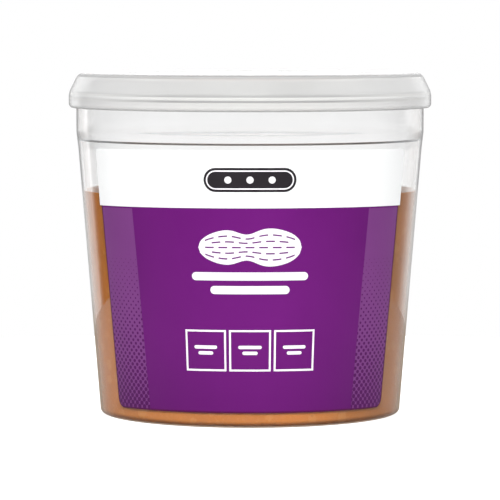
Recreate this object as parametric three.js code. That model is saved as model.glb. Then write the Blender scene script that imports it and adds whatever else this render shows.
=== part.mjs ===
// Clear plastic tub of peanut butter with a press-on lid and a label on its front.
// Millimetres, +Z up, standing on z = 0 with its axis on the origin. The label faces -Y.

import * as THREE from "three";

// Whole object
const HEIGHT = 129.1;
const LATHE_STEPS = 64;

// Tub
const WALL_FOOT_RADIUS = 56.7;
const WALL_DRAFT_DEGREES = 4.73;
const BASE_CORNER_RADIUS = 1.8;
const SHOULDER_BOTTOM_Z = 100.7;
const SHOULDER_TOP_Z = 106.7;
const COLLAR_RADIUS = 65.75;
const RIM_UNDERSIDE_Z = 118.8;
const RIM_TOP_Z = 121.9;
const RIM_RADIUS = 66.75;
const RIM_BEVEL = 0.45;
const BODY_WALL = 1.25;
const COLLAR_WALL = 1;
const LEDGE_Z = 104;
const LEDGE_WIDTH = 0.6;
const FLOOR_THICKNESS = 1.2;
const FOOT_RECESS_DEPTH = 1;
const FOOT_RING_INNER_RADIUS = 50;
const INNER_CORNER_RADIUS = 1.4;

// Lid
const LID_RADIUS = 68.6;
const LID_WALL = 1;
const SHOULDER_WALL = 1.1;
const SKIRT_BOTTOM_Z = 115.8;
const SKIRT_WALL = 1.2;
const SKIRT_FOOT_BEVEL = 0.9;
const CREASE_Z = 121.4;
const CREASE_BEVEL = 0.7;
const RING_HEIGHT = 0.6;
const RING_OUTER_RADIUS = 64.8;
const RING_INNER_RADIUS = 59.6;
const RING_OUTER_BEVEL = 0.8;
const RING_INNER_SLOPE = 2;
const SNAP_BEAD_RADIUS = 66.1;
const SNAP_BEAD_LOW = 1.1;
const SNAP_BEAD_HIGH = 1.9;
const SNAP_BEAD_TOP = 3.2;
const PLUG_OUTER_RADIUS = 64.4;
const PLUG_THICKNESS = 1.1;
const PLUG_TIP_Z = 120.1;
const PLUG_BEVEL = 0.3;
const GROOVE_TOP_Z = 126.6;

// Peanut butter
const FILL_LEVEL_Z = 84.8;
const FILL_GAP = 0.2;
const FOLD_COUNT = 3;
const FOLD_HEIGHT = 0.5;
const FOLD_POINTS = 4;

// Label
const LABEL_BOTTOM_Z = 5.6;
const LABEL_TOP_Z = 101.9;
const PANEL_SPLIT_Z = 80.9;
const LABEL_THICKNESS = 0.2;
const LABEL_GAP = 0.12;
const LABEL_SIDE_DROP = 1.25;
const UPPER_HALF_ANGLE = 61.2;
const LOWER_TOP_HALF_ANGLE = 59.9;
const LOWER_FOOT_HALF_ANGLE = 58.7;
const LABEL_CORNER_RADIUS = 3.5;
const LABEL_CORNER_STEPS = 4;
const LABEL_COLUMNS = 24;
const SPLIT_STEP = 0.05;

const WALL_TAPER = Math.tan(THREE.MathUtils.degToRad(WALL_DRAFT_DEGREES));

const point = (radius, z) => new THREE.Vector2(radius, z);

// Outside of the tub's wall at a height
function wallRadius(z) {
  const tapered = WALL_FOOT_RADIUS + WALL_TAPER * z;
  if (z <= SHOULDER_BOTTOM_Z) return tapered;
  if (z >= SHOULDER_TOP_Z) return COLLAR_RADIUS;
  const start = WALL_FOOT_RADIUS + WALL_TAPER * SHOULDER_BOTTOM_Z;
  const share = (z - SHOULDER_BOTTOM_Z) / (SHOULDER_TOP_Z - SHOULDER_BOTTOM_Z);
  return start + ((COLLAR_RADIUS - start) * (1 - Math.cos(Math.PI * share))) / 2;
}

// Radius at which a corner of a given size has its centre, so that it meets the wall smoothly
function cornerCentre(z, size, inset = 0) {
  const draft = THREE.MathUtils.degToRad(WALL_DRAFT_DEGREES);
  return wallRadius(z - size * Math.sin(draft)) - inset - size * Math.cos(draft);
}

// Points of a round corner, from one angle to another about a centre
function arc(radius, z, size, fromDegrees, toDegrees, steps) {
  return Array.from({ length: steps + 1 }, (_, i) => {
    const angle = THREE.MathUtils.degToRad(
      fromDegrees + ((toDegrees - fromDegrees) * i) / steps,
    );
    return point(radius + size * Math.cos(angle), z + size * Math.sin(angle));
  });
}

// Points through corners of [radius, z, bevel]. A bevel cuts its corner off that far along each side.
function outline(corners) {
  return corners.flatMap(([radius, z, bevel = 0], i) => {
    const corner = point(radius, z);
    if (bevel === 0) return [corner];
    return [corners[i - 1], corners[i + 1]].map((other) =>
      point(other[0], other[1]).sub(corner).setLength(bevel).add(corner),
    );
  });
}

// Solid of revolution about +Z. The profile runs up its outside and back down its inside.
function turned(profile) {
  return new THREE.LatheGeometry(profile, LATHE_STEPS).rotateX(Math.PI / 2);
}

function finish(colour, roughness, opacity = 1) {
  return new THREE.MeshStandardMaterial({
    color: colour,
    roughness,
    metalness: 0,
    opacity,
    transparent: opacity < 1,
    side: THREE.DoubleSide,
  });
}

function namedMesh(name, geometry, material) {
  const mesh = new THREE.Mesh(geometry, material);
  mesh.name = name;
  return mesh;
}

// Tub: standing ring, tapered wall, soft shoulder, straight collar and rim
function tubProfile() {
  const floorZ = FOOT_RECESS_DEPTH + FLOOR_THICKNESS;
  const shoulder = [0, 0.25, 0.5, 0.75, 1].map((share) => {
    const z = THREE.MathUtils.lerp(SHOULDER_BOTTOM_Z, SHOULDER_TOP_Z, share);
    return point(wallRadius(z), z);
  });
  const collarInner = COLLAR_RADIUS - COLLAR_WALL;
  const outerCorner = cornerCentre(BASE_CORNER_RADIUS, BASE_CORNER_RADIUS);
  const innerCornerZ = floorZ + INNER_CORNER_RADIUS;
  const innerCorner = cornerCentre(innerCornerZ, INNER_CORNER_RADIUS, BODY_WALL);
  const rim = outline([
    [COLLAR_RADIUS, RIM_UNDERSIDE_Z],
    [RIM_RADIUS, RIM_UNDERSIDE_Z + RIM_RADIUS - COLLAR_RADIUS],
    [RIM_RADIUS, RIM_TOP_Z, RIM_BEVEL],
    [collarInner, RIM_TOP_Z, RIM_BEVEL],
    [collarInner, LEDGE_Z],
    [collarInner - LEDGE_WIDTH, LEDGE_Z],
  ]);
  return [
    point(0, FOOT_RECESS_DEPTH),
    point(FOOT_RING_INNER_RADIUS - FOOT_RECESS_DEPTH, FOOT_RECESS_DEPTH),
    point(FOOT_RING_INNER_RADIUS, 0),
    ...arc(outerCorner, BASE_CORNER_RADIUS, BASE_CORNER_RADIUS, -90, -WALL_DRAFT_DEGREES, 3),
    ...shoulder,
    ...rim,
    point(wallRadius(SHOULDER_BOTTOM_Z) - BODY_WALL, SHOULDER_BOTTOM_Z),
    ...arc(innerCorner, innerCornerZ, INNER_CORNER_RADIUS, -WALL_DRAFT_DEGREES, -90, 3),
    point(0, floorZ),
  ];
}

// Outside of the lid's sloping shoulder at a height
function lidShoulderRadius(z) {
  const share = (z - CREASE_Z) / (HEIGHT - CREASE_Z);
  return THREE.MathUtils.lerp(LID_RADIUS, RING_OUTER_RADIUS, share);
}

// Lid: flat middle, low raised ring, sloping shoulder, skirt with a snap bead, and a plug
function lidProfile() {
  const panelTop = HEIGHT - RING_HEIGHT;
  const underside = panelTop - LID_WALL;
  const plugInner = PLUG_OUTER_RADIUS - PLUG_THICKNESS;
  const skirtInner = LID_RADIUS - SKIRT_WALL;
  return outline([
    [0, underside],
    [plugInner, underside],
    [plugInner, PLUG_TIP_Z, PLUG_BEVEL],
    [PLUG_OUTER_RADIUS, PLUG_TIP_Z, PLUG_BEVEL],
    [PLUG_OUTER_RADIUS, GROOVE_TOP_Z],
    [lidShoulderRadius(GROOVE_TOP_Z) - SHOULDER_WALL, GROOVE_TOP_Z],
    [skirtInner, CREASE_Z],
    [skirtInner, SKIRT_BOTTOM_Z + SNAP_BEAD_TOP],
    [SNAP_BEAD_RADIUS, SKIRT_BOTTOM_Z + SNAP_BEAD_HIGH],
    [SNAP_BEAD_RADIUS, SKIRT_BOTTOM_Z + SNAP_BEAD_LOW],
    [skirtInner, SKIRT_BOTTOM_Z],
    [LID_RADIUS, SKIRT_BOTTOM_Z, SKIRT_FOOT_BEVEL],
    [LID_RADIUS, CREASE_Z, CREASE_BEVEL],
    [RING_OUTER_RADIUS, HEIGHT, RING_OUTER_BEVEL],
    [RING_INNER_RADIUS, HEIGHT],
    [RING_INNER_RADIUS - RING_INNER_SLOPE, panelTop],
    [0, panelTop],
  ]);
}

// Peanut butter: fills the tub to its level, with low round folds left by filling
function fillProfile() {
  const floorZ = FOOT_RECESS_DEPTH + FLOOR_THICKNESS + FILL_GAP;
  const inset = BODY_WALL + FILL_GAP;
  const cornerZ = floorZ + INNER_CORNER_RADIUS;
  const corner = cornerCentre(cornerZ, INNER_CORNER_RADIUS, inset);
  const edge = wallRadius(FILL_LEVEL_Z) - inset;
  const count = FOLD_COUNT * FOLD_POINTS;
  const top = Array.from({ length: count }, (_, i) => {
    const share = 1 - (i + 1) / count;
    const wave = (1 - Math.cos(2 * Math.PI * FOLD_COUNT * share)) / 2;
    return point(edge * share, FILL_LEVEL_Z + FOLD_HEIGHT * wave);
  });
  return [
    point(0, floorZ),
    ...arc(corner, cornerZ, INNER_CORNER_RADIUS, -90, -WALL_DRAFT_DEGREES, 3),
    point(edge, FILL_LEVEL_Z),
    ...top,
  ];
}

// Half the label's angular width, in degrees, at a height
function labelHalfAngle(z) {
  if (z >= PANEL_SPLIT_Z) return UPPER_HALF_ANGLE;
  const share = (z - LABEL_BOTTOM_Z) / (PANEL_SPLIT_Z - LABEL_BOTTOM_Z);
  const straight = THREE.MathUtils.lerp(LOWER_FOOT_HALF_ANGLE, LOWER_TOP_HALF_ANGLE, share);
  const below = LABEL_BOTTOM_Z + LABEL_CORNER_RADIUS - z;
  if (below <= 0) return straight;
  const inset = LABEL_CORNER_RADIUS - Math.sqrt(Math.max(0, LABEL_CORNER_RADIUS ** 2 - below ** 2));
  return straight - THREE.MathUtils.radToDeg(inset / wallRadius(z));
}

// Label: a thin sheet bent round the front of the wall, wider above the split than below it.
// Its edges sit a little lower towards its sides.
function labelGeometry() {
  const cornerRows = Array.from({ length: LABEL_CORNER_STEPS }, (_, i) => {
    const angle = (Math.PI / 2) * (i / LABEL_CORNER_STEPS);
    return LABEL_BOTTOM_Z + LABEL_CORNER_RADIUS * (1 - Math.cos(angle));
  });
  const rows = [
    ...cornerRows,
    LABEL_BOTTOM_Z + LABEL_CORNER_RADIUS,
    PANEL_SPLIT_Z - SPLIT_STEP,
    PANEL_SPLIT_Z,
    SHOULDER_BOTTOM_Z,
    LABEL_TOP_Z,
  ];
  const perRow = LABEL_COLUMNS + 1;
  const layer = rows.length * perRow;
  const positions = [];
  for (const depth of [LABEL_GAP, LABEL_GAP + LABEL_THICKNESS]) {
    for (const rowZ of rows) {
      for (let column = 0; column < perRow; column++) {
        const share = (2 * column) / LABEL_COLUMNS - 1;
        const angle = THREE.MathUtils.degToRad(labelHalfAngle(rowZ) * share);
        const z = rowZ - LABEL_SIDE_DROP * (1 - Math.cos(angle));
        const radius = wallRadius(z) + depth;
        positions.push(radius * Math.sin(angle), -radius * Math.cos(angle), z);
      }
    }
  }
  const index = [];
  const quad = (a, b, c, d) => index.push(a, b, c, a, c, d);
  const at = (row, column, outer) => row * perRow + column + (outer ? layer : 0);
  for (let row = 0; row < rows.length - 1; row++) {
    for (let column = 0; column < LABEL_COLUMNS; column++) {
      quad(at(row, column, 1), at(row, column + 1, 1), at(row + 1, column + 1, 1), at(row + 1, column, 1));
      quad(at(row, column, 0), at(row + 1, column, 0), at(row + 1, column + 1, 0), at(row, column + 1, 0));
    }
    quad(at(row, 0, 0), at(row, 0, 1), at(row + 1, 0, 1), at(row + 1, 0, 0));
    const last = LABEL_COLUMNS;
    quad(at(row, last, 1), at(row, last, 0), at(row + 1, last, 0), at(row + 1, last, 1));
  }
  const top = rows.length - 1;
  for (let column = 0; column < LABEL_COLUMNS; column++) {
    quad(at(0, column, 0), at(0, column + 1, 0), at(0, column + 1, 1), at(0, column, 1));
    quad(at(top, column, 1), at(top, column + 1, 1), at(top, column + 1, 0), at(top, column, 0));
  }
  const geometry = new THREE.BufferGeometry();
  geometry.setAttribute("position", new THREE.Float32BufferAttribute(positions, 3));
  geometry.setIndex(index);
  geometry.computeVertexNormals();
  return geometry;
}

const jar = new THREE.Group();
jar.add(
  namedMesh("tub", turned(tubProfile()), finish(0xeeeeed, 0.15, 0.35)),
  namedMesh("lid", turned(lidProfile()), finish(0xe4e4e3, 0.3, 0.5)),
  namedMesh("peanut_butter", turned(fillProfile()), finish(0xc98650, 0.5)),
  namedMesh("label", labelGeometry(), finish(0x762487, 0.35)),
);

export default jar;
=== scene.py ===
# Clear plastic tub of peanut butter with a press-on lid and a printed label, on a white floor.
# Outlines are written in millimetres and made in metres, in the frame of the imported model.
import math
import random

import bmesh
import bpy
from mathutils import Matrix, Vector


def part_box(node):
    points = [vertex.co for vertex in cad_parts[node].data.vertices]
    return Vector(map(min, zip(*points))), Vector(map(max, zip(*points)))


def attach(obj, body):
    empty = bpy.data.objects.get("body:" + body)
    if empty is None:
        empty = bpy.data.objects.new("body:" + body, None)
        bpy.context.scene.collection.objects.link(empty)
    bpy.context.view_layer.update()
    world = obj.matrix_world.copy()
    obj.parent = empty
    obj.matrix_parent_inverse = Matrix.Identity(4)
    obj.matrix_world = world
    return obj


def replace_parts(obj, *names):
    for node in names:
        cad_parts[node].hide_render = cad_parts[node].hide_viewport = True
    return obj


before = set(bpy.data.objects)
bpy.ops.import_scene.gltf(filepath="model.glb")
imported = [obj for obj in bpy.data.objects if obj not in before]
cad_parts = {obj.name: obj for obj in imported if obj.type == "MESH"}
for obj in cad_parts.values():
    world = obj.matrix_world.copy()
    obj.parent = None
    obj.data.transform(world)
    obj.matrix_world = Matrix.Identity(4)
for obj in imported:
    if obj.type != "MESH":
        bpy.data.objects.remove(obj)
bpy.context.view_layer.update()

MM = 0.001
BODY = "root"
LATHE_STEPS = 192
ON_AXIS = 1e-6


def in_mm(node):
    """A node's lowest and highest corners, in millimetres."""
    low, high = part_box(node)
    return low / MM, high / MM


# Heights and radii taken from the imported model
lid_low, lid_high = in_mm("lid")
tub_high = in_mm("tub")[1]
label_high = in_mm("label")[1]
HEIGHT = lid_high.z
LID_RADIUS = lid_high.x
SKIRT_BOTTOM_Z = lid_low.z
RIM_RADIUS = tub_high.x
RIM_TOP_Z = tub_high.z
LABEL_TOP_Z = label_high.z

# Tub
WALL_FOOT_RADIUS = 56.7
WALL_TAPER = math.tan(math.radians(4.73))
SHOULDER_BOTTOM_Z = 100.7
SHOULDER_TOP_Z = 106.7
COLLAR_RADIUS = 65.75
COLLAR_WALL = 1.0
BODY_WALL = 1.25
LEDGE_Z = 104.0
LEDGE_WIDTH = 0.7
RIM_UNDERSIDE_Z = 118.8
FOOT_RECESS = 1.0
FOOT_RING_INNER = 50.0
FLOOR_TOP_Z = 2.2
INNER_CORNER = 1.4

# Lid
LID_WALL = 1.0
SHOULDER_WALL = 1.1
SKIRT_WALL = 1.2
RING_HEIGHT = 0.3
RING_INNER_RADIUS = 59.6
RING_OUTER_RADIUS = 64.8
RING_INNER_SLOPE = 3.0
CREASE_Z = 121.4
CREASE_BEVEL = 0.9
SKIRT_FOOT_BEVEL = 0.9
SNAP_BEAD_RADIUS = 66.1
SNAP_BEAD_LOW = 1.1
SNAP_BEAD_HIGH = 1.9
SNAP_BEAD_TOP = 3.2
PLUG_OUTER_RADIUS = 64.4
PLUG_WALL = 1.1
PLUG_TIP_Z = 120.1
GROOVE_TOP_Z = 126.6
LINE_LOW_Z = 119.1
LINE_HIGH_Z = 119.9
DISC_RADIUS = 46.4
DISC_DEPTH = 0.2
DISC_SLOPE = 0.6
GATE_RADIUS = 3.4
GATE_DEPTH = 0.35
GATE_SLOPE = 0.8
GATE_PIP_RADIUS = 1.2
GATE_PIP_SLOPE = 0.3
GATE_PIP_DEPTH = 0.1

# Peanut butter
FILL_LEVEL_Z = 84.8
FILL_INTO_WALL = 0.7
FILL_INTO_FLOOR = 1.05
FILL_RINGS = 40
SWIRL_TURNS = 2.6
SWIRL_HALF_HEIGHT = 0.25
RIPPLE_HEIGHT = 0.06
RIPPLES = 5
RIPPLE_TWIST = 7

# Label
LABEL_BOTTOM_Z = 5.6
PANEL_SPLIT_Z = 80.9
UPPER_HALF_ANGLE = 61.2
LOWER_TOP_HALF_ANGLE = 59.9
LOWER_FOOT_HALF_ANGLE = 58.0
LABEL_CORNER = 3.5
UPPER_CORNER = 1.0
LABEL_SIDE_DROP = 1.25
FILM_LIFT = 0.04
FILM_TOP = 0.16
INK = 0.03
OVERLAP = 0.01
COLUMN_WIDTH = 1.5
LABEL_HALF_COLUMNS = 36
THIN_END = 0.004
END_STEPS = 6


def wall_radius(z):
    """Outer radius of the tub's wall at a height."""
    if z >= SHOULDER_TOP_Z:
        return COLLAR_RADIUS
    if z <= SHOULDER_BOTTOM_Z:
        return WALL_FOOT_RADIUS + WALL_TAPER * z
    start = WALL_FOOT_RADIUS + WALL_TAPER * SHOULDER_BOTTOM_Z
    share = (z - SHOULDER_BOTTOM_Z) / (SHOULDER_TOP_Z - SHOULDER_BOTTOM_Z)
    return start + (COLLAR_RADIUS - start) * (1 - math.cos(math.pi * share)) / 2


# Meshes
def new_object(name, verts, faces, materials, face_materials=None, smooth=True):
    """A mesh object from points in millimetres."""
    mesh = bpy.data.meshes.new(name)
    mesh.from_pydata([tuple(c * MM for c in v) for v in verts], [], faces)
    for material in materials:
        mesh.materials.append(material)
    if face_materials:
        mesh.polygons.foreach_set("material_index", face_materials)
    mesh.polygons.foreach_set("use_smooth", [smooth] * len(mesh.polygons))
    mesh.update()
    obj = bpy.data.objects.new(name, mesh)
    bpy.context.scene.collection.objects.link(obj)
    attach(obj, BODY)
    return obj


def rounded(corners, arc_steps=5, support=0.25):
    """An outline through (radius, height, corner size) points, its corners rounded.

    A point beside each arc keeps the shading of the straight parts flat.
    """
    points = [tuple(corners[0][:2])]
    for before, here, after in zip(corners, corners[1:], corners[2:]):
        at = Vector(here[:2])
        back = Vector(before[:2]) - at
        on = Vector(after[:2]) - at
        size = here[2] if len(here) > 2 else 0
        if not size:
            points.append(tuple(at))
            continue
        back_length, on_length = back.length, on.length
        back.normalize()
        on.normalize()
        half = back.angle(on) / 2
        reach = min(size / math.tan(half), 0.48 * back_length, 0.48 * on_length)
        size = reach * math.tan(half)
        centre = at + (back + on).normalized() * (size / math.sin(half))
        start = at + back * reach - centre
        turn = math.pi - 2 * half
        if back.cross(on) > 0:
            turn = -turn
        if back_length - reach > 3 * support:
            points.append(tuple(at + back * (reach + support)))
        for i in range(arc_steps + 1):
            a = turn * i / arc_steps
            points.append(
                (
                    centre.x + start.x * math.cos(a) - start.y * math.sin(a),
                    centre.y + start.x * math.sin(a) + start.y * math.cos(a),
                )
            )
        if on_length - reach > 3 * support:
            points.append(tuple(at + on * (reach + support)))
    points.append(tuple(corners[-1][:2]))
    return points


def lathe(name, outline, materials, shape=None, kind=None):
    """A solid of revolution whose outline starts and ends on the axis.

    shape gives the lift of a point from its angle, radius and height. kind gives the material of a
    band of faces from the radius and height of its middle.
    """
    steps = LATHE_STEPS
    verts, rings, faces, kinds = [], [], [], []
    for r, z in outline:
        if r < ON_AXIS:
            rings.append([len(verts)] * steps)
            verts.append((0, 0, z + (shape(0, 0, z) if shape else 0)))
            continue
        rings.append(list(range(len(verts), len(verts) + steps)))
        for i in range(steps):
            a = 2 * math.pi * i / steps
            lift = shape(a, r, z) if shape else 0
            verts.append((r * math.sin(a), -r * math.cos(a), z + lift))
    for k, (low, high) in enumerate(zip(rings, rings[1:])):
        middle = [(a + b) / 2 for a, b in zip(outline[k], outline[k + 1])]
        number = kind(*middle) if kind else 0
        for i in range(steps):
            j = (i + 1) % steps
            quad = [low[i], low[j], high[j], high[i]]
            face = [v for k, v in enumerate(quad) if v != quad[k - 1]]
            if len(face) > 2:
                faces.append(face)
                kinds.append(number)
    return new_object(name, verts, faces, materials, kinds)


class Film:
    """Thin closed sheets bent round the wall, gathered into one mesh."""

    def __init__(self, low=FILM_LIFT, top=FILM_TOP):
        self.low, self.top = low, top
        self.verts, self.faces = [], []

    def place(self, angle, level, lift):
        z = level - LABEL_SIDE_DROP * (1 - math.cos(angle))
        r = wall_radius(z) + lift
        self.verts.append((r * math.sin(angle), -r * math.cos(angle), z))
        return len(self.verts) - 1

    def sheet(self, grid):
        """A sheet over rows of (angle, height) points, each row running the same way."""
        inner = [[self.place(a, z, self.low) for a, z in row] for row in grid]
        outer = [[self.place(a, z, self.top) for a, z in row] for row in grid]
        rows, columns = len(grid), len(grid[0])
        made = []
        for i in range(rows - 1):
            for j in range(columns - 1):
                made.append([outer[i][j], outer[i][j + 1], outer[i + 1][j + 1], outer[i + 1][j]])
                made.append([inner[i][j], inner[i + 1][j], inner[i + 1][j + 1], inner[i][j + 1]])
            made.append([inner[i][0], outer[i][0], outer[i + 1][0], inner[i + 1][0]])
            made.append([outer[i][-1], inner[i][-1], inner[i + 1][-1], outer[i + 1][-1]])
        for j in range(columns - 1):
            made.append([inner[0][j], inner[0][j + 1], outer[0][j + 1], outer[0][j]])
            made.append([outer[-1][j], outer[-1][j + 1], inner[-1][j + 1], inner[-1][j]])
        self.faces += made

    def shape(self, centre_angle, centre_z, half_width, low, high, columns=12):
        """A sheet between two curves. low and high give heights at -1 to 1 across its width."""
        reference = wall_radius(centre_z)
        across = [-1 + 2 * j / columns for j in range(columns + 1)]
        rows = [
            [(centre_angle + half_width * s / reference, centre_z + edge(s)) for s in across]
            for edge in (low, high)
        ]
        self.sheet(rows)

    def bar(self, centre_angle, centre_z, width, height):
        """A bar with round ends."""
        half, end = width / 2, height / 2
        reference = wall_radius(centre_z)
        angles = [math.pi / 2 * k / END_STEPS for k in range(END_STEPS + 1)]
        left = [(-half + end * (1 - math.sin(a)), end * math.cos(a)) for a in reversed(angles)]
        columns = max(2, math.ceil((width - height) / COLUMN_WIDTH))
        middle = [(-half + end + (width - height) * k / columns, end) for k in range(1, columns)]
        right = [(-u, h) for u, h in reversed(left)]
        profile = [(u, max(h, THIN_END)) for u, h in left + middle + right]
        rows = [
            [(centre_angle + u / reference, centre_z + side * h) for u, h in profile]
            for side in (-1, 1)
        ]
        self.sheet(rows)

    def made(self, name, material, slot):
        return new_object(name, self.verts, self.faces, [material], smooth=False)


def ink_layer(number):
    """An empty film for the printed layer with this number, sunk a little into the one below it."""
    top = FILM_TOP + INK * number
    return Film(top - INK - OVERLAP, top)


# Materials
def node_material(name):
    material = bpy.data.materials.new(name)
    material.use_nodes = True
    tree = material.node_tree
    principled = tree.nodes["Principled BSDF"]
    return material, tree, principled


def add(tree, kind, **values):
    """A node with its sockets, by name or place, or its properties set."""
    node = tree.nodes.new(kind)
    for key, value in values.items():
        if key.startswith("in_"):
            socket = key[3:]
            socket = int(socket) if socket.isdigit() else socket.replace("_", " ")
            node.inputs[socket].default_value = value
        else:
            setattr(node, key, value)
    return node


def put(tree, value, socket):
    """Links another node's output to a socket, or sets the socket to a constant."""
    if isinstance(value, bpy.types.NodeSocket):
        tree.links.new(value, socket)
    else:
        socket.default_value = value


def maths(tree, operation, first, second=None):
    node = add(tree, "ShaderNodeMath", operation=operation)
    put(tree, first, node.inputs[0])
    if second is not None:
        put(tree, second, node.inputs[1])
    return node.outputs[0]


def times(tree, first, second):
    return maths(tree, "MULTIPLY", first, second)


def mixed(tree, share, first, second, blend="MIX"):
    """The first colour, turning into the second as share goes from 0 to 1."""
    node = add(tree, "ShaderNodeMix", data_type="RGBA", blend_type=blend)
    for socket, value in ((0, share), (6, first), (7, second)):
        put(tree, value, node.inputs[socket])
    return node.outputs[2]


def mixed_shaders(tree, share, first, second):
    node = add(tree, "ShaderNodeMixShader")
    for socket, value in zip(node.inputs, (share, first, second)):
        tree.links.new(value, socket)
    return node.outputs["Shader"]


def srgb(r, g, b, a=1.0):
    """A linear colour from 0-255 screen values."""
    def channel(v):
        v /= 255
        return v / 12.92 if v <= 0.04045 else ((v + 0.055) / 1.055) ** 2.4
    return (channel(r), channel(g), channel(b), a)


def even(v):
    """A grey of this brightness."""
    return (v, v, v, 1)


def greys(pairs):
    """Ramp stops from pairs of position and brightness."""
    return [(at, even(v)) for at, v in pairs]


def own_place(tree):
    """The object's own coordinates, in metres."""
    return add(tree, "ShaderNodeTexCoord").outputs["Object"]


def axes(tree, vector):
    """The X, Y and Z of a vector."""
    split = add(tree, "ShaderNodeSeparateXYZ")
    tree.links.new(vector, split.inputs[0])
    return split.outputs


def noise(tree, scale, detail=2.0):
    """Noise over the object's own coordinates, in features per metre."""
    texture = add(tree, "ShaderNodeTexNoise", in_Scale=scale, in_Detail=detail)
    tree.links.new(own_place(tree), texture.inputs["Vector"])
    return texture.outputs["Fac"]


def ramp(tree, source, stops):
    """Colours along a value."""
    node = add(tree, "ShaderNodeValToRGB")
    tree.links.new(source, node.inputs["Fac"])
    elements = node.color_ramp.elements
    while len(elements) < len(stops):
        elements.new(0.5)
    for element, (position, colour) in zip(elements, stops):
        element.position = position
        element.color = colour
    return node.outputs["Color"]


def remap(tree, source, low, high, to_low, to_high):
    node = add(tree, "ShaderNodeMapRange", in_1=low, in_2=high, in_3=to_low, in_4=to_high)
    tree.links.new(source, node.inputs[0])
    return node.outputs[0]


def bump(tree, height, strength, distance):
    node = add(tree, "ShaderNodeBump", in_Strength=strength, in_Distance=distance)
    tree.links.new(height, node.inputs["Height"])
    return node.outputs["Normal"]


def upward(tree, low, high):
    """0 on walls, rising to 1 on surfaces that face up or down."""
    normal = axes(tree, add(tree, "ShaderNodeNewGeometry").outputs["Normal"])
    return remap(tree, maths(tree, "ABSOLUTE", normal["Z"]), low, high, 0, 1)


# Ranges in metres: painted light towards the lid's sides, the painted grey from foot to body, and the
# paste's level.
SIDE_LIGHT_X = (0.02, 0.062)
BODY_SHADE_Z = (0.03, 0.09)
PASTE_LEVEL_Z = (0.084, 0.087)


def clear_plastic(name, tint, transmission, roughness, shade, edge, side_light_tint=None):
    """Moulded plastic that shows what is behind it, with a painted grey shade mixed in where it turns
    away, and lets lamps through.

    edge says how the painted shade greys it:
    painted_grey, body, low: the painted grey's colour at the top, on the body and at the foot.
    stops, high_stops: its share where the surface turns away, on the body and above the paste.
    back, far_share: the colour it takes and the share it keeps at the far end of fade.
    fade: the range of Y between near and far.
    outline: a share where the surface turns away that doesn't fade.
    level: how level a surface may be before it is left clear.
    """
    material, tree, shader = node_material(name)
    shader.inputs["IOR"].default_value = PLASTIC_IOR
    shader.inputs["Transmission Weight"].default_value = transmission
    tone = noise(tree, 60, 3)
    light, dark = tint
    colour = ramp(tree, tone, [(0.3, light), (0.75, dark)])
    place = axes(tree, own_place(tree))
    # Painted light: the tint turns lighter towards the left and right.
    if side_light_tint:
        across = maths(tree, "ABSOLUTE", place["X"])
        colour = mixed(tree, remap(tree, across, *SIDE_LIGHT_X, 0, 1), colour, side_light_tint)
    tree.links.new(colour, shader.inputs["Base Color"])
    uneven = remap(tree, tone, 0.3, 0.7, roughness * 0.8, roughness * 1.25)
    tree.links.new(uneven, shader.inputs["Roughness"])
    tree.links.new(bump(tree, noise(tree, 30, 1), 0.04, 0.0002), shader.inputs["Normal"])

    # Painted shade: a diffuse grey, browner towards the foot and different front to back, mixed in where
    # the surface turns away and on thick parts.
    painted_grey = add(tree, "ShaderNodeBsdfDiffuse")
    body = edge.get("body", edge["painted_grey"])
    by_height = ramp(
        tree,
        remap(tree, place["Z"], *BODY_SHADE_Z, 0, 1),
        [(0, edge.get("low", EDGE_SHADE_LOW)), (0.3, body), (0.9, body), (0.95, edge["painted_grey"])],
    )
    fading = remap(tree, place["Y"], *edge["fade"], 0, 1)
    tree.links.new(mixed(tree, fading, by_height, edge["back"]), painted_grey.inputs["Color"])
    facing = add(tree, "ShaderNodeLayerWeight", in_Blend=0.5).outputs["Facing"]
    on_body = ramp(tree, facing, greys(edge["stops"]))
    above = ramp(tree, facing, greys(edge.get("high_stops", edge["stops"])))
    turned = mixed(tree, remap(tree, place["Z"], *PASTE_LEVEL_Z, 0, 1), on_body, above)
    kept = remap(tree, fading, 0, 1, 1, edge.get("far_share", 1))
    outline = ramp(tree, facing, greys(edge.get("outline", edge["stops"])))
    share = maths(tree, "MAXIMUM", times(tree, turned, kept), outline)
    steep = remap(tree, upward(tree, *edge["level"]), 0, 1, 1, 0)
    seen = mixed_shaders(tree, times(tree, share, steep), shader.outputs["BSDF"], painted_grey.outputs["BSDF"])

    through = add(tree, "ShaderNodeBsdfTransparent", in_Color=shade)
    path = add(tree, "ShaderNodeLightPath")
    surface = mixed_shaders(tree, path.outputs["Is Shadow Ray"], seen, through.outputs["BSDF"])
    tree.links.new(surface, tree.nodes["Material Output"].inputs["Surface"])
    return material


def voronoi(tree, scale):
    """Uneven cells over the object's own place: distance from each cell's middle, and its colour."""
    place = own_place(tree)
    wander = add(tree, "ShaderNodeTexNoise", in_Scale=scale * 1.5, in_Detail=2.0)
    tree.links.new(place, wander.inputs["Vector"])
    push = add(tree, "ShaderNodeVectorMath", operation="MULTIPLY_ADD")
    push.inputs[1].default_value = [0.9 / scale] * 3
    tree.links.new(wander.outputs["Color"], push.inputs[0])
    tree.links.new(place, push.inputs[2])
    cells = add(tree, "ShaderNodeTexVoronoi", in_Scale=scale, in_Randomness=1.0)
    tree.links.new(push.outputs[0], cells.inputs["Vector"])
    return cells.outputs["Distance"], cells.outputs["Color"]


PASTE_LOW = srgb(206, 131, 60)
PASTE_HIGH = srgb(221, 143, 67)
# Painted shade across the paste: darker towards its left and right, the right more.
PASTE_HALF_WIDTH = 0.06
PASTE_SHADE_STOPS = [(0.0, 0.82), (0.15, 0.95), (0.3, 1.0), (0.65, 1.0), (0.8, 0.81), (0.92, 0.68)]
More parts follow.
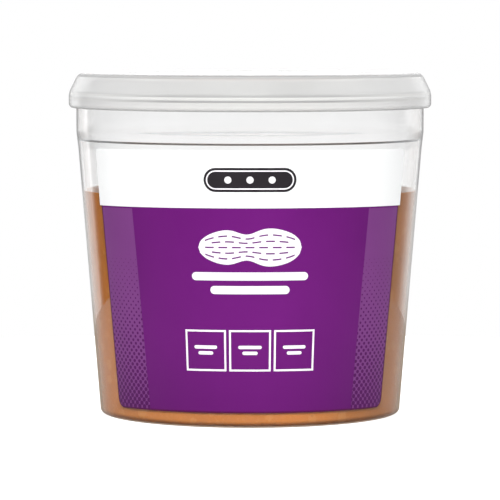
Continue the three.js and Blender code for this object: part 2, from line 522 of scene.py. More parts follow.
# Bits in the paste: cells per metre, the sizes they fade over, how rare they are, strength and colour
PASTE_BITS = [
    (620.0, (0.2, 0.5), None, 0.2, srgb(228, 158, 92)),
    (190.0, (0.3, 0.42), (0.55, 0.62), 0.3, srgb(232, 172, 106)),
    (260.0, (0.14, 0.2), (0.72, 0.76), 0.3, srgb(140, 78, 40)),
]


def paste_material(name, roughness, relief, coat):
    """Peanut butter: tan paste with fine grains, bits of nut and of skin, and painted shade that darkens
    it towards its left and right. coat is the oil on its top.
    """
    material, tree, shader = node_material(name)
    broad = noise(tree, 45, 4)
    colour = ramp(tree, broad, [(0.3, PASTE_LOW), (0.7, PASTE_HIGH)])
    for scale, size, rare, strength, tone in PASTE_BITS:
        distance, cell = voronoi(tree, scale)
        share = remap(tree, distance, *size, 1, 0)
        if rare:
            share = times(tree, share, remap(tree, cell, *rare, 0, 1))
        colour = mixed(tree, times(tree, share, strength), colour, tone)
    place = axes(tree, own_place(tree))
    # Painted shade: the colour is darkened towards the paste's left and right.
    width = remap(tree, place["X"], -PASTE_HALF_WIDTH, PASTE_HALF_WIDTH, 0, 1)
    across = ramp(tree, width, greys(PASTE_SHADE_STOPS))
    tree.links.new(mixed(tree, 1.0, colour, across, "MULTIPLY"), shader.inputs["Base Color"])
    uneven = remap(tree, broad, 0.3, 0.7, roughness, roughness + 0.12)
    tree.links.new(uneven, shader.inputs["Roughness"])
    tree.links.new(bump(tree, noise(tree, 380, 3), relief, 0.0004), shader.inputs["Normal"])
    shader.inputs["Coat Weight"].default_value = coat
    shader.inputs["Coat Roughness"].default_value = 0.05
    return material


# Where painted shade darkens a film towards its sides and foot.
FILM_SIDE_SHADE_X = (0.012, 0.042)
FILM_FOOT_SHADE_Z = (0.004, 0.035)


def film_material(name, low, high, roughness, side_shade=1.0, foot_shade=1.0):
    """Printed film with slight mottling between two close tones, darkened by painted shade towards its
    sides and foot.
    """
    material, tree, shader = node_material(name)
    shader.inputs["Specular IOR Level"].default_value = 0.2
    tone = noise(tree, 40, 3)
    colour = ramp(tree, tone, [(0.3, low), (0.7, high)])
    place = axes(tree, own_place(tree))
    # Painted shade: darker towards the sides and the foot.
    side_shading = remap(tree, maths(tree, "ABSOLUTE", place["X"]), *FILM_SIDE_SHADE_X, 1, side_shade)
    strength = times(tree, side_shading, remap(tree, place["Z"], *FILM_FOOT_SHADE_Z, foot_shade, 1))
    tree.links.new(mixed(tree, 1.0, colour, strength, "MULTIPLY"), shader.inputs["Base Color"])
    uneven = remap(tree, tone, 0.3, 0.7, roughness - 0.04, roughness + 0.04)
    tree.links.new(uneven, shader.inputs["Roughness"])
    tree.links.new(bump(tree, noise(tree, 700, 2), 0.05, 0.0002), shader.inputs["Normal"])
    return material


PLASTIC_IOR = 1.49
# Painted shade on the clear plastic: greys mixed into the outlines of the wall and lid, the rim's
# underside, the ledge, the foot's corner, the ring round the lid's top, the crease and the rib. Their
# colours change between front and back, and the foot's grey is brownish.
EDGE_SHADE_LOW = (0.43, 0.34, 0.26, 1)
EDGE_SHADE_GREY = even(0.45)
FOOT_SHADE_TAN = (0.74, 0.56, 0.42, 1)
FRONT_HALF = (0.0, 0.01)
LEVEL = (0.97, 0.995)
SOLID_STOPS = [(0.0, 0.75), (1.0, 0.85)]
WALL_EDGE_SHADE = {
    "painted_grey": EDGE_SHADE_GREY,
    "stops": [(0.68, 0.0), (0.8, 0.35), (0.88, 0.92)],
    "high_stops": [(0.58, 0.0), (0.66, 0.07), (0.8, 0.36), (0.88, 0.88)],
    "body": (0.62, 0.62, 0.61, 1),
    "back": EDGE_SHADE_GREY,
    "fade": FRONT_HALF,
    "level": LEVEL,
}
THICK_EDGE_SHADE = {
    "painted_grey": even(0.58),
    "stops": SOLID_STOPS,
    "back": EDGE_SHADE_GREY,
    "fade": FRONT_HALF,
    "level": LEVEL,
}
LEDGE_SHADE = {
    "painted_grey": (0.42, 0.4, 0.38, 1),
    "stops": [(0.0, 0.85), (1.0, 0.9)],
    "back": (0.84, 0.9, 0.94, 1),
    "fade": (-0.048, -0.036),
    "level": LEVEL,
}
FOOT_EDGE_SHADE = {
    "painted_grey": EDGE_SHADE_GREY,
    "low": FOOT_SHADE_TAN,
    "stops": SOLID_STOPS,
    "back": FOOT_SHADE_TAN,
    "fade": FRONT_HALF,
    "level": LEVEL,
}
LID_EDGE_SHADE = {
    "painted_grey": EDGE_SHADE_GREY,
    "stops": [(0.78, 0.0), (0.86, 0.5), (0.92, 0.9)],
    "back": EDGE_SHADE_GREY,
    "fade": FRONT_HALF,
    "level": LEVEL,
}
TOP_LINE_SHADE = {
    "painted_grey": even(0.38),
    "stops": SOLID_STOPS,
    "back": even(0.95),
    "fade": (0.01, 0.02),
    "level": (0.8, 0.95),
}
CREASE_LINE_SHADE = {
    "painted_grey": even(0.3),
    "stops": SOLID_STOPS,
    "back": even(0.48),
    "far_share": 0.25,
    "outline": LID_EDGE_SHADE["stops"],
    "fade": (-0.062, -0.035),
    "level": LEVEL,
}
CLEAR_TINT = (srgb(254, 254, 254), srgb(252, 252, 252))
LID_TINT = (srgb(208, 208, 207), srgb(202, 202, 201))
# Painted light: the lid and its skirt are tinted lighter towards their left and right sides.
LID_SIDE_LIGHT_TINT = srgb(226, 226, 226)
SKIRT_TINT = (srgb(244, 244, 242), srgb(240, 240, 238))
SKIRT_SIDE_LIGHT_TINT = srgb(242, 242, 242)
EDGE_TINT = (srgb(236, 236, 236), srgb(230, 230, 230))
TUB_SHADE = even(0.96)
LID_SHADE = even(0.8)
MILKY = 0.45
SATIN = 0.2
tub_plastic = clear_plastic("tub_plastic", CLEAR_TINT, 1.0, 0.04, TUB_SHADE, WALL_EDGE_SHADE)
foot_shade_plastic = clear_plastic("foot_shade_plastic", EDGE_TINT, 0.9, 0.1, TUB_SHADE, FOOT_EDGE_SHADE)
ledge_shade_plastic = clear_plastic("ledge_shade_plastic", EDGE_TINT, 0.9, 0.1, TUB_SHADE, LEDGE_SHADE)
lid_plastic = clear_plastic("lid_plastic", LID_TINT, MILKY, SATIN, LID_SHADE, LID_EDGE_SHADE, LID_SIDE_LIGHT_TINT)
skirt_plastic = clear_plastic(
    "skirt_plastic", SKIRT_TINT, MILKY, SATIN, LID_SHADE, LID_EDGE_SHADE, SKIRT_SIDE_LIGHT_TINT
)
edge_shade_plastic = clear_plastic("edge_shade_plastic", EDGE_TINT, 0.9, SATIN, LID_SHADE, THICK_EDGE_SHADE)
top_line_shade_plastic = clear_plastic("top_line_shade_plastic", EDGE_TINT, 0.9, SATIN, LID_SHADE, TOP_LINE_SHADE)
crease_shade_plastic = clear_plastic("crease_shade_plastic", SKIRT_TINT, MILKY, SATIN, LID_SHADE, CREASE_LINE_SHADE)
paste = paste_material("paste", 0.3, 0.15, 0.0)
paste_top = paste_material("paste_top", 0.25, 0.08, 0.8)
nut = film_material("nut", srgb(218, 156, 98), srgb(232, 178, 120), 0.4)
white_film = film_material("white_film", srgb(248, 249, 249), srgb(251, 252, 252), 0.42)
# The purple film is darkened to 0.86 at its sides and foot by painted shade.
purple_film = film_material("purple_film", srgb(105, 19, 114), srgb(109, 22, 118), 0.4, 0.86, 0.86)
band_ink = film_material("band_ink", srgb(117, 57, 124), srgb(121, 61, 128), 0.42)
dot_ink = film_material("dot_ink", srgb(76, 10, 82), srgb(82, 14, 88), 0.42)
# Dark maroon for the line along the label's cut edge, partly a painted shadow.
edge_shade_ink = film_material("edge_shade_ink", srgb(82, 16, 62), srgb(88, 18, 68), 0.42)
white_ink = film_material("white_ink", srgb(250, 246, 252), srgb(254, 250, 254), 0.42)
dark_ink = film_material("dark_ink", srgb(38, 34, 38), srgb(46, 42, 46), 0.42)


# Tub
def tub_outline():
    start = WALL_FOOT_RADIUS + WALL_TAPER * SHOULDER_BOTTOM_Z
    inner = COLLAR_RADIUS - COLLAR_WALL
    flange = RIM_RADIUS - COLLAR_RADIUS
    return rounded(
        [
            (0, FOOT_RECESS),
            (FOOT_RING_INNER - FOOT_RECESS, FOOT_RECESS, 0.6),
            (FOOT_RING_INNER, 0, 0.4),
            (WALL_FOOT_RADIUS, 0, 1.8),
            (start, SHOULDER_BOTTOM_Z, 14),
            (COLLAR_RADIUS, SHOULDER_TOP_Z, 14),
            (COLLAR_RADIUS, RIM_UNDERSIDE_Z, 0.3),
            (RIM_RADIUS, RIM_UNDERSIDE_Z + flange, 0.3),
            (RIM_RADIUS, RIM_TOP_Z, 0.6),
            (inner, RIM_TOP_Z, 0.4),
            (inner, LEDGE_Z + LEDGE_WIDTH / 2, 0.1),
            (inner - LEDGE_WIDTH, LEDGE_Z - LEDGE_WIDTH / 2, 0.1),
            (start - BODY_WALL, SHOULDER_BOTTOM_Z, 0.5),
            (WALL_FOOT_RADIUS + WALL_TAPER * FLOOR_TOP_Z - BODY_WALL, FLOOR_TOP_Z, INNER_CORNER),
            (0, FLOOR_TOP_Z),
        ]
    )


def tub_kind(r, z):
    """1 for the rim's thick underside, 2 for the ledge inside the collar, 3 for the foot's corner, each
    greyed by painted shade.
    """
    if RIM_UNDERSIDE_Z - 0.2 < z < RIM_UNDERSIDE_Z + 1.1 and r > COLLAR_RADIUS + 0.02:
        return 1
    if abs(z - LEDGE_Z) < LEDGE_WIDTH * 0.6 and r < COLLAR_RADIUS - COLLAR_WALL - 0.02:
        return 2
    return 3 if z < 0.9 and r > WALL_FOOT_RADIUS - 1.5 else 0


TUB_MATERIALS = [tub_plastic, edge_shade_plastic, ledge_shade_plastic, foot_shade_plastic]
tub = lathe("tub_shell", tub_outline(), TUB_MATERIALS, kind=tub_kind)
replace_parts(tub, "tub")


# Lid
def lid_shoulder(z):
    """Outer radius of the lid's sloping shoulder at a height."""
    share = (z - CREASE_Z) / (HEIGHT - CREASE_Z)
    return LID_RADIUS + (RING_OUTER_RADIUS - LID_RADIUS) * share


def lid_outline():
    top = HEIGHT - RING_HEIGHT
    under = top - LID_WALL
    plug_inner = PLUG_OUTER_RADIUS - PLUG_WALL
    skirt_inner = LID_RADIUS - SKIRT_WALL
    return rounded(
        [
            (0, under),
            (plug_inner, under, 0.4),
            (plug_inner, PLUG_TIP_Z, 0.4),
            (PLUG_OUTER_RADIUS, PLUG_TIP_Z, 0.4),
            (PLUG_OUTER_RADIUS, GROOVE_TOP_Z, 0.2),
            (lid_shoulder(GROOVE_TOP_Z) - SHOULDER_WALL, GROOVE_TOP_Z, 0.2),
            (skirt_inner, CREASE_Z, 1.0),
            (skirt_inner, SKIRT_BOTTOM_Z + SNAP_BEAD_TOP, 0.4),
            (SNAP_BEAD_RADIUS, SKIRT_BOTTOM_Z + SNAP_BEAD_HIGH, 0.3),
            (SNAP_BEAD_RADIUS, SKIRT_BOTTOM_Z + SNAP_BEAD_LOW, 0.3),
            (skirt_inner, SKIRT_BOTTOM_Z, 0.2),
            (LID_RADIUS - SKIRT_FOOT_BEVEL, SKIRT_BOTTOM_Z, 0.8),
            (LID_RADIUS, SKIRT_BOTTOM_Z + SKIRT_FOOT_BEVEL, 1.6),
            (LID_RADIUS, LINE_LOW_Z),
            (LID_RADIUS, LINE_HIGH_Z),
            (LID_RADIUS, CREASE_Z - CREASE_BEVEL, 2.5),
            (lid_shoulder(CREASE_Z + CREASE_BEVEL), CREASE_Z + CREASE_BEVEL, 3.0),
            (RING_OUTER_RADIUS, HEIGHT, 4.0),
            (RING_INNER_RADIUS, HEIGHT, 1.0),
            (RING_INNER_RADIUS - RING_INNER_SLOPE, top, 1.0),
            (DISC_RADIUS, top, 0.3),
            (DISC_RADIUS - DISC_SLOPE, top - DISC_DEPTH, 0.3),
            (GATE_RADIUS, top - DISC_DEPTH, 0.3),
            (GATE_RADIUS - GATE_SLOPE, top - GATE_DEPTH, 0.3),
            (GATE_PIP_RADIUS, top - GATE_DEPTH, 0.2),
            (GATE_PIP_RADIUS - GATE_PIP_SLOPE, top - GATE_PIP_DEPTH, 0.2),
            (0, top - GATE_PIP_DEPTH),
        ]
    )


def lid_kind(r, z):
    """1 for the skirt's foot, 2 for the ring's corner, 3 for the crease and a rib, 4 for the skirt.
    Painted dark greys are mixed in at 1 to 3.
    """
    ring = HEIGHT - 1.6 < z < HEIGHT - 0.16 and r > RING_INNER_RADIUS
    crease = abs(z - CREASE_Z) < 0.35 and r > LID_RADIUS - 0.6
    rib = LINE_LOW_Z < z < LINE_HIGH_Z and r > LID_RADIUS - 0.1
    foot = z < SKIRT_BOTTOM_Z + 0.5 and r > LID_RADIUS - 1.0
    skirt = z < CREASE_Z and r > LID_RADIUS - 1.0
    return 2 if ring else 3 if crease or rib else 1 if foot else 4 if skirt else 0


LID_MATERIALS = [lid_plastic, edge_shade_plastic, top_line_shade_plastic, crease_shade_plastic, skirt_plastic]
lid = lathe("lid_shell", lid_outline(), LID_MATERIALS, kind=lid_kind)
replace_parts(lid, "lid")


# Peanut butter
def fill_outline():
    inner = WALL_FOOT_RADIUS - BODY_WALL + FILL_INTO_WALL
    floor_z = FLOOR_TOP_Z - FILL_INTO_FLOOR
    edge = inner + WALL_TAPER * FILL_LEVEL_Z
    top = [(edge * (1 - k / FILL_RINGS), FILL_LEVEL_Z) for k in range(1, FILL_RINGS)]
    side = rounded(
        [
            (0, floor_z),
            (inner + WALL_TAPER * floor_z, floor_z, INNER_CORNER),
            (edge, FILL_LEVEL_Z, 0.3),
            (edge - 2, FILL_LEVEL_Z),
        ]
    )
    return side[:-1] + [p for p in top if p[0] < edge - 1] + [(0, FILL_LEVEL_Z)]


def fill_surface(angle, r, z):
    """Height of the swirl that filling left on top, fading out at the wall."""
    if z < FILL_LEVEL_Z - 0.4:
        return 0
    share = r / (wall_radius(FILL_LEVEL_Z) - BODY_WALL)
    swirl = SWIRL_HALF_HEIGHT * (1 + math.cos(SWIRL_TURNS * share * 2 * math.pi + angle))
    ripple = RIPPLE_HEIGHT * math.cos(RIPPLES * angle + RIPPLE_TWIST * share)
    return max(0.0, 1 - share**6) * (swirl + ripple)


def fill_kind(r, z):
    return 1 if z > FILL_LEVEL_Z - 0.2 else 0


fill = lathe("paste_fill", fill_outline(), [paste, paste_top], fill_surface, fill_kind)
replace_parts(fill, "peanut_butter")

NUT_COUNT = 110
NUT_SEED = 7
NUT_MARGIN = 6
NUT_SIZES = (0.9, 2.3)
NUT_LENGTHS = (1.0, 1.5)
NUT_HEIGHTS = (0.35, 0.6)
NUT_CUTS = 4
NUT_CUT_DEPTHS = (0.4, 0.75)
NUT_DENT = 0.16
NUT_LEAN = 0.12
NUT_LIFT = 0.05


def nut_pieces():
    """Chopped nuts lying half sunk in the top of the paste."""
    draw = random.Random(NUT_SEED)
    edge = wall_radius(FILL_LEVEL_Z) - BODY_WALL - NUT_MARGIN
    shape = bmesh.new()
    bmesh.ops.create_icosphere(shape, subdivisions=2, radius=1)
    ball = [v.co.copy() for v in shape.verts]
    patches = [[v.index for v in f.verts] for f in shape.faces]
    shape.free()
    verts, faces = [], []
    for _ in range(NUT_COUNT):
        r = edge * math.sqrt(draw.random())
        a = draw.uniform(0, 2 * math.pi)
        turn = draw.uniform(0, 2 * math.pi)
        size = draw.uniform(*NUT_SIZES)
        stretch = (size * draw.uniform(*NUT_LENGTHS), size, size * draw.uniform(*NUT_HEIGHTS))
        push = Vector([draw.uniform(-1, 1) for _ in range(3)])
        cuts = []
        for _ in range(NUT_CUTS):
            way = Vector([draw.uniform(-1, 1) for _ in range(3)])
            cuts.append((way.normalized(), draw.uniform(*NUT_CUT_DEPTHS)))
        start = len(verts)
        for co in ball:
            for way, depth in cuts:
                co = co - way * max(0.0, co.dot(way) - depth)
            pushed = co.dot(push)
            dent = 1 + NUT_DENT * math.sin(3 * pushed + 2 * co.x) - NUT_LEAN * max(0.0, pushed)
            x, y, z = (c * k * dent for c, k in zip(co, stretch))
            verts.append(
                (
                    r * math.sin(a) + x * math.cos(turn) - y * math.sin(turn),
                    -r * math.cos(a) + x * math.sin(turn) + y * math.cos(turn),
                    FILL_LEVEL_Z + fill_surface(a, r, FILL_LEVEL_Z) + z + NUT_LIFT,
                )
            )
        faces += [[start + k for k in patch] for patch in patches]
    return new_object("nut_pieces", verts, faces, [nut], smooth=False)


nut_pieces()


# Label
UPPER_ROWS = [90, 96]
LOWER_ROWS = [20, 40, 60]


def label_half_angle(z):
    """Half the label's angular width below the split, in radians."""
    share = (z - LABEL_BOTTOM_Z) / (PANEL_SPLIT_Z - LABEL_BOTTOM_Z)
    straight = math.radians(
        LOWER_FOOT_HALF_ANGLE + (LOWER_TOP_HALF_ANGLE - LOWER_FOOT_HALF_ANGLE) * share
    )
    below = LABEL_BOTTOM_Z + LABEL_CORNER - z
    if below <= 0:
        return straight
    inset = LABEL_CORNER - math.sqrt(max(0.0, LABEL_CORNER**2 - below**2))
    return straight - inset / wall_radius(z)


def label_row(half, z):
    """Points from one side of the label to the other."""
    steps = range(2 * LABEL_HALF_COLUMNS + 1)
    return [(half * (j / LABEL_HALF_COLUMNS - 1), z) for j in steps]


def corner_heights(bottom):
    """Heights up a lower corner of the label."""
    return [bottom + LABEL_CORNER * (1 - math.cos(math.radians(a))) for a in range(0, 91, 10)]


def upper_panel():
    film = Film()
    corner = UPPER_CORNER
    heights = [PANEL_SPLIT_Z, *UPPER_ROWS, SHOULDER_BOTTOM_Z, LABEL_TOP_Z - corner]
    heights += [LABEL_TOP_Z - corner + corner * math.sin(math.radians(a)) for a in (22, 45, 67, 90)]
    rows = []
    for z in heights:
        above = max(0.0, z - (LABEL_TOP_Z - corner))
        inset = corner - math.sqrt(max(0.0, corner**2 - above**2))
        rows.append(label_row(math.radians(UPPER_HALF_ANGLE) - inset / wall_radius(z), z))
    film.sheet(rows)
    return film.made("label_upper", white_film, "label_white")


def lower_panel():
    film = Film()
    heights = [*corner_heights(LABEL_BOTTOM_Z), *LOWER_ROWS, PANEL_SPLIT_Z - 0.02]
    film.sheet([label_row(label_half_angle(z), z) for z in heights])
    return film.made("label_lower", purple_film, "label")


BAND_FOOT_ANGLE = 39.8
BAND_LEAN = 3.2
RIGHT_BAND_SHIFT = 0.5
BAND_MARGIN = 0.6
BAND_COLUMNS = 12


def band_inner_angle(side, z):
    """Inner edge of a side band at a height, in radians. The right band starts a little farther out."""
    share = (z - LABEL_BOTTOM_Z) / (PANEL_SPLIT_Z - LABEL_BOTTOM_Z)
    shift = RIGHT_BAND_SHIFT if side > 0 else 0
    return math.radians(BAND_FOOT_ANGLE + BAND_LEAN * share + shift)


def side_bands():
    film = ink_layer(1)
    heights = [*corner_heights(LABEL_BOTTOM_Z + BAND_MARGIN), *LOWER_ROWS, PANEL_SPLIT_Z - BAND_MARGIN]
    for side in (-1, 1):
        rows = []
        for z in heights:
            outer = label_half_angle(z) - BAND_MARGIN / wall_radius(z)
            inner = band_inner_angle(side, z)
            steps = range(BAND_COLUMNS + 1)
            row = [(side * (inner + (outer - inner) * j / BAND_COLUMNS), z) for j in steps]
            rows.append(row if side > 0 else row[::-1])
        film.sheet(rows)
    return film.made("label_bands", band_ink, "label")


DOT_ROW = 1.3
DOT_COLUMN = 2.6
DOT_PLACES = range(-3, 15)
DOT_FIRST = 39.5
DOT_REFERENCE_Z = 40
DOT_BOTTOM_MARGIN = 1.2
DOT_START_Z = 61.5
DOT_SMALLEST = 0.14
DOT_GROWTH = 0.74
LEAST_DOT_SHARE = 0.3
DOT_STEPS = 10


def dot_radius(z):
    share = (DOT_START_Z - z) / (DOT_START_Z - LABEL_BOTTOM_Z)
    return DOT_SMALLEST + DOT_GROWTH * share


def dot(film, side, angle, z, size, inner, outer):
    """A round dot on one band, cut off at the band's inner and outer angles."""
    reference = wall_radius(z)
    low = max(-1.0, (inner - angle) * reference / size)
    high = min(1.0, (outer - angle) * reference / size)
    if high - low < LEAST_DOT_SHARE:
        return
    start, end = math.asin(low), math.asin(high)
    turns = [start + (end - start) * k / DOT_STEPS for k in range(DOT_STEPS + 1)]
    profile = [(size * math.sin(t), max(size * math.cos(t), THIN_END)) for t in turns]
    rows = [[(side * (angle + u / reference), z + v * h) for u, h in profile] for v in (-1, 1)]
    film.sheet(rows if side > 0 else [row[::-1] for row in rows])


def halftone_dots():
    """Staggered rows of round dots that grow towards the bottom of each band."""
    film = ink_layer(2)
    row = 0
    z = LABEL_BOTTOM_Z + DOT_BOTTOM_MARGIN
    while z < DOT_START_Z:
        size = dot_radius(z)
        half = size / wall_radius(z)
        shift = DOT_COLUMN / 2 if row % 2 else 0
        outer = label_half_angle(z - size / 2) - BAND_MARGIN / wall_radius(z)
        for side in (-1, 1):
            inner = band_inner_angle(side, z)
            for k in DOT_PLACES:
                angle = (DOT_FIRST + k * DOT_COLUMN + shift) / wall_radius(DOT_REFERENCE_Z)
                if inner < angle + half and angle - half < outer:
                    dot(film, side, angle, z, size, inner, outer)
        z += DOT_ROW
        row += 1
    return film.made("label_dots", dot_ink, "label")


FRAME_SIZE = 15.2
FRAME_PITCH = 16.3
FRAME_STROKE = 0.7
FRAME_Z = 28.7
# Heights above a frame's middle, and lengths
FRAME_BARS = [(1.25, 8.6), (-0.9, 5.6)]
FRAME_BAR_HEIGHT = 1.25
# Heights of the two bars' middles, and lengths
TITLE_BARS = [(56.0, 43.0), (51.0, 29.0)]
TITLE_BAR_HEIGHT = 3.0
PEANUT_Z = 66.6
PEANUT_LENGTH = 38.0
PEANUT_HALF = 7.2
PEANUT_BLUNTNESS = 2.6
PEANUT_COLUMNS = 60
WAIST_DEPTH = 0.34
WAIST_PLACE = -0.06
WAIST_WIDTH = 0.26
LOBE_DIFFERENCE = 0.07


def peanut_half(s):
    """Half height of a peanut on its side, at -1 to 1 along it: two lobes, the right one larger."""
    ends = math.sqrt(max(0.0, 1 - abs(s) ** PEANUT_BLUNTNESS))
    waist = 1 - WAIST_DEPTH * math.exp(-(((s - WAIST_PLACE) / WAIST_WIDTH) ** 2))
    return max(THIN_END, PEANUT_HALF * ends * waist * (1 + LOBE_DIFFERENCE * s))


def frame_outline(film, centre):
    """Four strokes round a square."""
    half, stroke = FRAME_SIZE / 2, FRAME_STROKE / 2
    inner = half - FRAME_STROKE
    for side in (-1, 1):
        level = side * (half - stroke)
        film.shape(centre, FRAME_Z, half, lambda s: level - stroke, lambda s: level + stroke)
        upright = centre + level / wall_radius(FRAME_Z)
        film.shape(upright, FRAME_Z, stroke, lambda s: -inner, lambda s: inner, 2)


def label_print():
    """White shapes on the purple field: a peanut, two bars and three outlined squares."""
    film = ink_layer(1)
    for place in (-1, 0, 1):
        centre = place * FRAME_PITCH / wall_radius(FRAME_Z)
        frame_outline(film, centre)
        for level, width in FRAME_BARS:
            film.bar(centre, FRAME_Z + level, width, FRAME_BAR_HEIGHT)
    for level, width in TITLE_BARS:
        film.bar(0, level, width, TITLE_BAR_HEIGHT)
    film.shape(
        0, PEANUT_Z, PEANUT_LENGTH / 2, lambda s: -peanut_half(s), peanut_half, PEANUT_COLUMNS
    )
    return film.made("label_print", white_ink, "label_white")


NET_LEVELS = (-0.66, -0.33, 0.0, 0.33, 0.66)
NET_REACH = 0.085
NET_PITCH = 0.26
NET_HALF_STROKE = 0.26
NET_END = 0.8


def peanut_net():
    """Rows of short lines along the peanut's shell, staggered from row to row."""
    film = ink_layer(2)
    half_length = PEANUT_LENGTH / 2
    for row, level in enumerate(NET_LEVELS):
        for part in range(-3, 4):
            centre = part * NET_PITCH + (NET_PITCH / 2 if row % 2 else 0)
            if abs(centre) > NET_END:
                continue

            def along(s, offset):
                return level * peanut_half(centre + NET_REACH * s) + offset

            film.shape(
                centre * half_length / wall_radius(PEANUT_Z), PEANUT_Z, NET_REACH * half_length,
                lambda s: along(s, -NET_HALF_STROKE), lambda s: along(s, NET_HALF_STROKE), 8,
            )
    return film.made("label_peanut_lines", purple_film, "label")


EMBLEM_Z = 91.2
EMBLEM_WIDTH = 34.0
EMBLEM_HEIGHT = 8.8
EMBLEM_RIM = 0.9
EMBLEM_LINE = 0.5
EMBLEM_DOT = 2.6
EMBLEM_DOT_PITCH = 8.0


def emblem():
    """Dark badge with round ends on the white field, with a thin pale line inside it and three dots."""
    inset = 0
    for number, (name, ink, slot, step) in enumerate(
        [
            ("label_emblem", dark_ink, "label", 0),
            ("label_emblem_line", white_ink, "label_white", EMBLEM_RIM),
            ("label_emblem_middle", dark_ink, "label", EMBLEM_LINE),
        ],
        1,
    ):
        inset += step
        film = ink_layer(number)
        film.bar(0, EMBLEM_Z, EMBLEM_WIDTH - 2 * inset, EMBLEM_HEIGHT - 2 * inset)
        film.made(name, ink, slot)
    dots = ink_layer(4)
    for place in (-1, 0, 1):
        dots.bar(place * EMBLEM_DOT_PITCH / wall_radius(EMBLEM_Z), EMBLEM_Z, EMBLEM_DOT, EMBLEM_DOT)
    dots.made("label_emblem_dots", white_ink, "label_white")


EDGE_LINE = 0.6
EDGE_LINE_START = 0.02
EDGE_BOTTOM_HALF_COLUMNS = 30


def edge_path(inset):
    """The lower panel's sides and bottom as (angle, height) points, this far inside its edge."""
    size = LABEL_CORNER - inset
    foot = LABEL_BOTTOM_Z + LABEL_CORNER
    corner_angle = label_half_angle(foot) - LABEL_CORNER / wall_radius(foot)
    heights = [PANEL_SPLIT_Z - 0.1, *reversed(LOWER_ROWS)]
    side = [(label_half_angle(z) - inset / wall_radius(z), z) for z in heights]
    for degrees in range(0, 91, 10):
        a = math.radians(degrees)
        z = foot - size * math.sin(a)
        side.append((corner_angle + size * math.cos(a) / wall_radius(z), z))
    columns = EDGE_BOTTOM_HALF_COLUMNS
    bottom = [(corner_angle * (1 - k / columns), LABEL_BOTTOM_Z + inset) for k in range(1, 2 * columns)]
    return side + bottom + [(-angle, z) for angle, z in reversed(side)]


def label_edge_shade():
    """Thin dark line along the lower panel's sides and bottom, where the film is cut: partly a painted
    shadow along that edge.
    """
    film = ink_layer(1)
    film.sheet([edge_path(EDGE_LINE), edge_path(EDGE_LINE_START)])
    return film.made("label_edge_shade", edge_shade_ink, "label")


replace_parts(upper_panel(), "label")
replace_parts(lower_panel(), "label")
label_edge_shade()
side_bands()
halftone_dots()
label_print()
peanut_net()
emblem()


# Floor, light and camera
FLOOR_RADIUS = 0.32
FLOOR_STEPS = 96
FLOOR_GLOW = 0.75
# Painted shadow: the floor glows less under the tub, out to 52 to 57 mm from the middle.
PAINTED_SHADOW_GLOW = 0.5
PAINTED_SHADOW_EDGE = (0.052, 0.057)
LAMP_AIM_Z = 0.065


def seen_directly(tree):
    """1 for rays from the camera or straight through clear plastic, 0 once they have been reflected."""
    path = add(tree, "ShaderNodeLightPath").outputs
    either = maths(tree, "MAXIMUM", path["Is Camera Ray"], path["Is Transmission Ray"])
    bounces = maths(tree, "ADD", path["Diffuse Depth"], path["Glossy Depth"])
    return times(tree, either, maths(tree, "LESS_THAN", bounces, 0.5)), path


def studio_floor():
    turn = 2 * math.pi / FLOOR_STEPS
    angles = [turn * i for i in range(FLOOR_STEPS)]
    rim = [(FLOOR_RADIUS * math.cos(a), FLOOR_RADIUS * math.sin(a), 0) for a in angles]
    mesh = bpy.data.meshes.new("floor")
    mesh.from_pydata(rim, [], [tuple(range(FLOOR_STEPS))])
    floor = bpy.data.objects.new("floor", mesh)
    bpy.context.scene.collection.objects.link(floor)
    material, tree, shader = node_material("floor_white")
    colour = ramp(tree, noise(tree, 3, 2), greys([(0.3, 0.5), (0.7, 0.52)]))
    tree.links.new(colour, shader.inputs["Base Color"])
    shader.inputs["Roughness"].default_value = 0.9
    shader.inputs["Emission Color"].default_value = even(1)
    length = add(tree, "ShaderNodeVectorMath", operation="LENGTH")
    tree.links.new(own_place(tree), length.inputs[0])
    # Painted shadow under the tub: weaker glow near the middle.
    glow_outside_painted_shadow = remap(tree, length.outputs["Value"], *PAINTED_SHADOW_EDGE, PAINTED_SHADOW_GLOW, FLOOR_GLOW)
    direct, _ = seen_directly(tree)
    tree.links.new(times(tree, direct, glow_outside_painted_shadow), shader.inputs["Emission Strength"])
    mesh.materials.append(material)


def lamp(name, azimuth, elevation, distance, size, level):
    """A soft lamp that gives a facing white surface this brightness.

    Azimuth 0 is in front and 90 on the right.
    """
    a, e = math.radians(azimuth), math.radians(elevation)
    way = Vector((math.sin(a) * math.cos(e), -math.cos(a) * math.cos(e), math.sin(e)))
    data = bpy.data.lights.new(name, "AREA")
    data.shape = "RECTANGLE"
    data.size, data.size_y = size
    data.energy = level * math.pi**2 * distance**2
    obj = bpy.data.objects.new(name, data)
    obj.location = Vector((0, 0, LAMP_AIM_Z)) + way * distance
    obj.rotation_euler = (-way).to_track_quat("-Z", "Y").to_euler()
    obj.visible_glossy = False
    obj.visible_transmission = False
    bpy.context.scene.collection.objects.link(obj)


def turn_stops(pairs):
    """Ramp stops from pairs of azimuth in degrees from straight behind and brightness."""
    return greys([((a + 180) / 360, v) for a, v in pairs])


BACKDROP = 1.5
SEEN_THROUGH = 1.07
FILL = 0.3
FILL_BACK = 0.55
FILL_Y = (-0.1, 0.7)
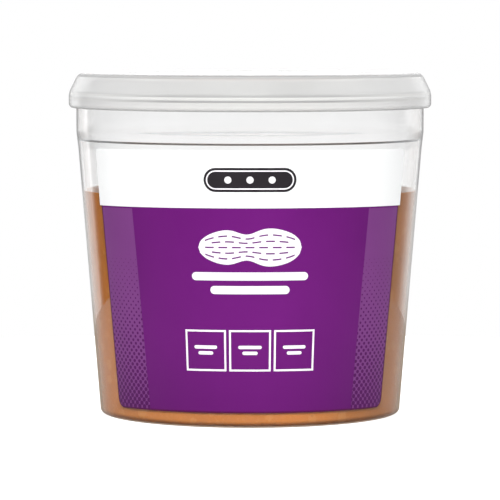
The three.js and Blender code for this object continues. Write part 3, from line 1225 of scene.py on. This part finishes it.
# Brightness up the backdrop as reflected outside and inside the tub, its top, and what is seen through
OUTSIDE_STOPS = [(0.35, 0), (0.42, 1), (0.8, 1), (0.86, 0)]
INSIDE_STOPS = [(0.35, 0), (0.42, 1), (0.508, 1), (0.52, 0)]
TOP_STOPS = [(0.515, 0.42), (0.62, 0.3), (0.8, 0.12), (0.9, 0.6)]
THROUGH_STOPS = [(0.25, 0.5), (0.36, SEEN_THROUGH), (0.64, SEEN_THROUGH), (0.8, 0.5)]
BACK_STOPS = [
    (-65, 0.03), (-49, 0.06), (-45, 0.4), (-41, BACKDROP), (30, BACKDROP),
    (40, 1.1), (45, 0.7), (50, 0.5), (58, 0.4), (64, 0.1), (80, 0.04),
]


def studio_world():
    """White as seen, a bright backdrop between dark sides in reflections, and a dim fill."""
    made = bpy.data.worlds.new("studio")
    bpy.context.scene.world = made
    made.use_nodes = True
    tree = made.node_tree
    way = axes(tree, add(tree, "ShaderNodeTexCoord").outputs["Generated"])
    turn = maths(tree, "ARCTAN2", way["X"], way["Y"])
    around = ramp(tree, remap(tree, turn, -math.pi, math.pi, 0, 1), turn_stops(BACK_STOPS))
    height = remap(tree, way["Z"], -1, 1, 0, 1)
    outside = ramp(tree, height, greys(OUTSIDE_STOPS))
    inside = ramp(tree, height, greys(INSIDE_STOPS))
    top = ramp(tree, height, greys(TOP_STOPS))
    direct, path = seen_directly(tree)
    within = maths(tree, "GREATER_THAN", path["Transmission Depth"], 0.5)
    band = mixed(tree, within, outside, inside)
    reflected = mixed(tree, band, top, around)

    through = ramp(tree, height, greys(THROUGH_STOPS))
    fill = remap(tree, way["Y"], *FILL_Y, FILL, FILL_BACK)
    reflected_before = maths(tree, "GREATER_THAN", path["Glossy Depth"], 0.5)
    shiny = maths(tree, "MAXIMUM", path["Is Glossy Ray"], reflected_before)
    ambient = mixed(tree, shiny, fill, reflected)
    seen = mixed(tree, direct, ambient, through)
    shown = mixed(tree, path["Is Camera Ray"], seen, even(1))
    tree.links.new(shown, tree.nodes["Background"].inputs["Color"])


CAMERA_DISTANCE = 1.354
CAMERA_HEIGHT = 0.15326
AIM_Z = 0.0615
LENS_MM = 257.1


def camera():
    data = bpy.data.cameras.new("camera")
    data.lens = LENS_MM
    data.clip_end = 100
    obj = bpy.data.objects.new("camera", data)
    obj.location = (0, -CAMERA_DISTANCE, CAMERA_HEIGHT)
    aim = Vector((0, 0, AIM_Z))
    obj.rotation_euler = (aim - obj.location).to_track_quat("-Z", "Y").to_euler()
    bpy.context.scene.collection.objects.link(obj)
    bpy.context.scene.camera = obj


studio_floor()
studio_world()
lamp("key", -5, 35, 1.3, (0.7, 0.5), 0.89)
lamp("side_left", -65, 25, 1.3, (0.6, 0.6), 0.2)
lamp("side_right", 65, 25, 1.3, (0.6, 0.6), 0.28)
lamp("back", 180, 32, 1.3, (0.9, 0.5), 0.4)
lamp("overhead", 0, 88, 1.2, (0.8, 0.8), 0.35)
camera()
bpy.context.scene.view_settings.view_transform = "Standard"
